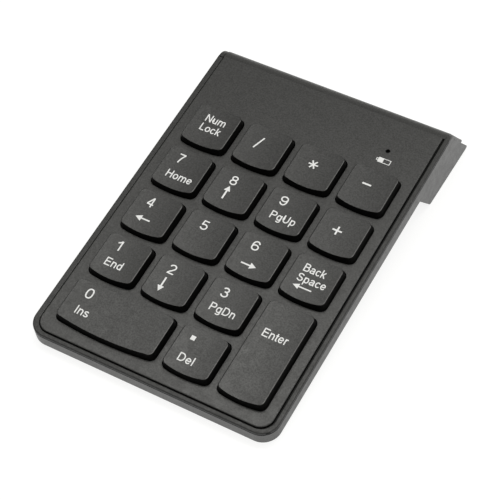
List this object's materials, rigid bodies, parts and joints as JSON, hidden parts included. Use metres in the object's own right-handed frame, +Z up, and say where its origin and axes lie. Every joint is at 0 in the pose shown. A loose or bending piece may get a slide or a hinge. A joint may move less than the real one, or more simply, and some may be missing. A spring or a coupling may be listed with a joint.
{
  "type": "numeric keypad",
  "caption": "Low wireless numeric keypad: a thin tilted case with dished full-size keys on rubber domes, and a rear block under the deck holding batteries behind a sliding door.",
  "frame": {"origin": "middle of the footprint at table level, under the case", "axes": "+X to the user's right, +Y to the rear (away from the user), +Z up; the key deck slopes down towards the user at 6.6 degrees"},
  "size_m": [0.0856, 0.1364, 0.0201],
  "materials": {
    "deck_plastic": "fine moulded texture, satin matt",
    "key_plastic": "fine moulded texture, slightly smoother than the deck",
    "rim_plastic": "satin",
    "case_plastic": "fine moulded texture",
    "silicone": "translucent matt silicone",
    "film": "clear polyester film with printed conductors",
    "steel": "zinc-plated",
    "wire_steel": "bright drawn wire",
    "contact_metal": "nickel-plated",
    "board": "green solder mask",
    "component_black": "moulded epoxy",
    "component_metal": "stamped can",
    "led_lens": "clear epoxy",
    "pipe_plastic": "smoked clear plastic",
    "battery_jacket": "plain printed sleeve",
    "foot_rubber": "matt rubber",
    "label_film": "satin polyester label, blank",
    "screw_steel": "black zinc"
  },
  "bodies": {
    "case": {"top_cover": "deck_plastic", "mid_frame": "rim_plastic", "bottom_case": "case_plastic", "dome_sheet": "silicone", "membrane_top": "film", "membrane_spacer": "film", "membrane_bottom": "film", "support_plate": "steel", "circuit_board": "board", "radio_chip": "component_black", "crystal": "component_metal", "tail_clamp": "component_black", "led": "led_lens", "light_pipe": "pipe_plastic", "power_switch": "component_metal", "battery_front": "battery_jacket", "battery_rear": "battery_jacket", "battery_springs": "contact_metal", "battery_link": "contact_metal", "battery_plus_contact": "contact_metal", "battery_minus_contact": "contact_metal", "receiver_shell": "component_black", "receiver_plug": "contact_metal", "front_feet": "foot_rubber", "rear_feet": "foot_rubber", "rating_label": "label_film", "case_screws": "screw_steel", "deck_screws": "screw_steel", "board_screws": "screw_steel"},
    "key_num_lock": {"keycap_num_lock": "key_plastic"},
    "key_divide": {"keycap_divide": "key_plastic"},
    "key_multiply": {"keycap_multiply": "key_plastic"},
    "key_minus": {"keycap_minus": "key_plastic"},
    "key_7": {"keycap_7": "key_plastic"},
    "key_8": {"keycap_8": "key_plastic"},
    "key_9": {"keycap_9": "key_plastic"},
    "key_plus": {"keycap_plus": "key_plastic"},
    "key_4": {"keycap_4": "key_plastic"},
    "key_5": {"keycap_5": "key_plastic"},
    "key_6": {"keycap_6": "key_plastic"},
    "key_backspace": {"keycap_backspace": "key_plastic"},
    "key_1": {"keycap_1": "key_plastic"},
    "key_2": {"keycap_2": "key_plastic"},
    "key_3": {"keycap_3": "key_plastic"},
    "key_enter": {"keycap_enter": "key_plastic"},
    "key_0": {"keycap_0": "key_plastic"},
    "key_point": {"keycap_point": "key_plastic"},
    "wire_zero": {"stabiliser_zero": "wire_steel"},
    "wire_enter": {"stabiliser_enter": "wire_steel"},
    "power_slider": {"switch_slider": "case_plastic", "switch_lever": "component_black"},
    "door": {"battery_door": "case_plastic"}
  },
  "joints": [
    {"name": "press_num_lock", "type": "slide", "parent": "case", "child": "key_num_lock", "axis": [0, 0.1149, -0.9934], "range_m": [0, 0.0022], "stiffness_N_per_m": 250, "deforming": ["dome_sheet"]},
    {"name": "press_divide", "type": "slide", "parent": "case", "child": "key_divide", "axis": [0, 0.1149, -0.9934], "range_m": [0, 0.0022], "stiffness_N_per_m": 250, "deforming": ["dome_sheet"]},
    {"name": "press_multiply", "type": "slide", "parent": "case", "child": "key_multiply", "axis": [0, 0.1149, -0.9934], "range_m": [0, 0.0022], "stiffness_N_per_m": 250, "deforming": ["dome_sheet"]},
    {"name": "press_minus", "type": "slide", "parent": "case", "child": "key_minus", "axis": [0, 0.1149, -0.9934], "range_m": [0, 0.0022], "stiffness_N_per_m": 250, "deforming": ["dome_sheet"]},
    {"name": "press_7", "type": "slide", "parent": "case", "child": "key_7", "axis": [0, 0.1149, -0.9934], "range_m": [0, 0.0022], "stiffness_N_per_m": 250, "deforming": ["dome_sheet"]},
    {"name": "press_8", "type": "slide", "parent": "case", "child": "key_8", "axis": [0, 0.1149, -0.9934], "range_m": [0, 0.0022], "stiffness_N_per_m": 250, "deforming": ["dome_sheet"]},
    {"name": "press_9", "type": "slide", "parent": "case", "child": "key_9", "axis": [0, 0.1149, -0.9934], "range_m": [0, 0.0022], "stiffness_N_per_m": 250, "deforming": ["dome_sheet"]},
    {"name": "press_plus", "type": "slide", "parent": "case", "child": "key_plus", "axis": [0, 0.1149, -0.9934], "range_m": [0, 0.0022], "stiffness_N_per_m": 250, "deforming": ["dome_sheet"]},
    {"name": "press_4", "type": "slide", "parent": "case", "child": "key_4", "axis": [0, 0.1149, -0.9934], "range_m": [0, 0.0022], "stiffness_N_per_m": 250, "deforming": ["dome_sheet"]},
    {"name": "press_5", "type": "slide", "parent": "case", "child": "key_5", "axis": [0, 0.1149, -0.9934], "range_m": [0, 0.0022], "stiffness_N_per_m": 250, "deforming": ["dome_sheet"]},
    {"name": "press_6", "type": "slide", "parent": "case", "child": "key_6", "axis": [0, 0.1149, -0.9934], "range_m": [0, 0.0022], "stiffness_N_per_m": 250, "deforming": ["dome_sheet"]},
    {"name": "press_backspace", "type": "slide", "parent": "case", "child": "key_backspace", "axis": [0, 0.1149, -0.9934], "range_m": [0, 0.0022], "stiffness_N_per_m": 250, "deforming": ["dome_sheet"]},
    {"name": "press_1", "type": "slide", "parent": "case", "child": "key_1", "axis": [0, 0.1149, -0.9934], "range_m": [0, 0.0022], "stiffness_N_per_m": 250, "deforming": ["dome_sheet"]},
    {"name": "press_2", "type": "slide", "parent": "case", "child": "key_2", "axis": [0, 0.1149, -0.9934], "range_m": [0, 0.0022], "stiffness_N_per_m": 250, "deforming": ["dome_sheet"]},
    {"name": "press_3", "type": "slide", "parent": "case", "child": "key_3", "axis": [0, 0.1149, -0.9934], "range_m": [0, 0.0022], "stiffness_N_per_m": 250, "deforming": ["dome_sheet"]},
    {"name": "press_enter", "type": "slide", "parent": "case", "child": "key_enter", "axis": [0, 0.1149, -0.9934], "range_m": [0, 0.0022], "stiffness_N_per_m": 250, "deforming": ["dome_sheet"]},
    {"name": "press_0", "type": "slide", "parent": "case", "child": "key_0", "axis": [0, 0.1149, -0.9934], "range_m": [0, 0.0022], "stiffness_N_per_m": 250, "deforming": ["dome_sheet"]},
    {"name": "press_point", "type": "slide", "parent": "case", "child": "key_point", "axis": [0, 0.1149, -0.9934], "range_m": [0, 0.0022], "stiffness_N_per_m": 250, "deforming": ["dome_sheet"]},
    {"name": "rock_zero", "type": "hinge", "parent": "case", "child": "wire_zero", "pos_m": [-0.01884, -0.05959, 0.00562], "axis": [1, 0, 0], "range_deg": [-21.5, 0.5]},
    {"name": "rock_enter", "type": "hinge", "parent": "case", "child": "wire_enter", "pos_m": [0.03426, -0.04444, 0.00737], "axis": [0, 0.9934, 0.1149], "range_deg": [-21.5, 0.5]},
    {"name": "slide_power", "type": "slide", "parent": "case", "child": "power_slider", "axis": [1, 0, 0], "range_m": [0, 0.002]},
    {"name": "slide_door", "type": "slide", "parent": "case", "child": "door", "axis": [0, 0.9999, 0.0148], "range_m": [0, 0.027]}
  ],
  "couplings": [
    {"joint": "rock_zero", "follows": "press_0", "rad_per_m": -167.61},
    {"joint": "rock_enter", "follows": "press_enter", "rad_per_m": -167.61}
  ]
}
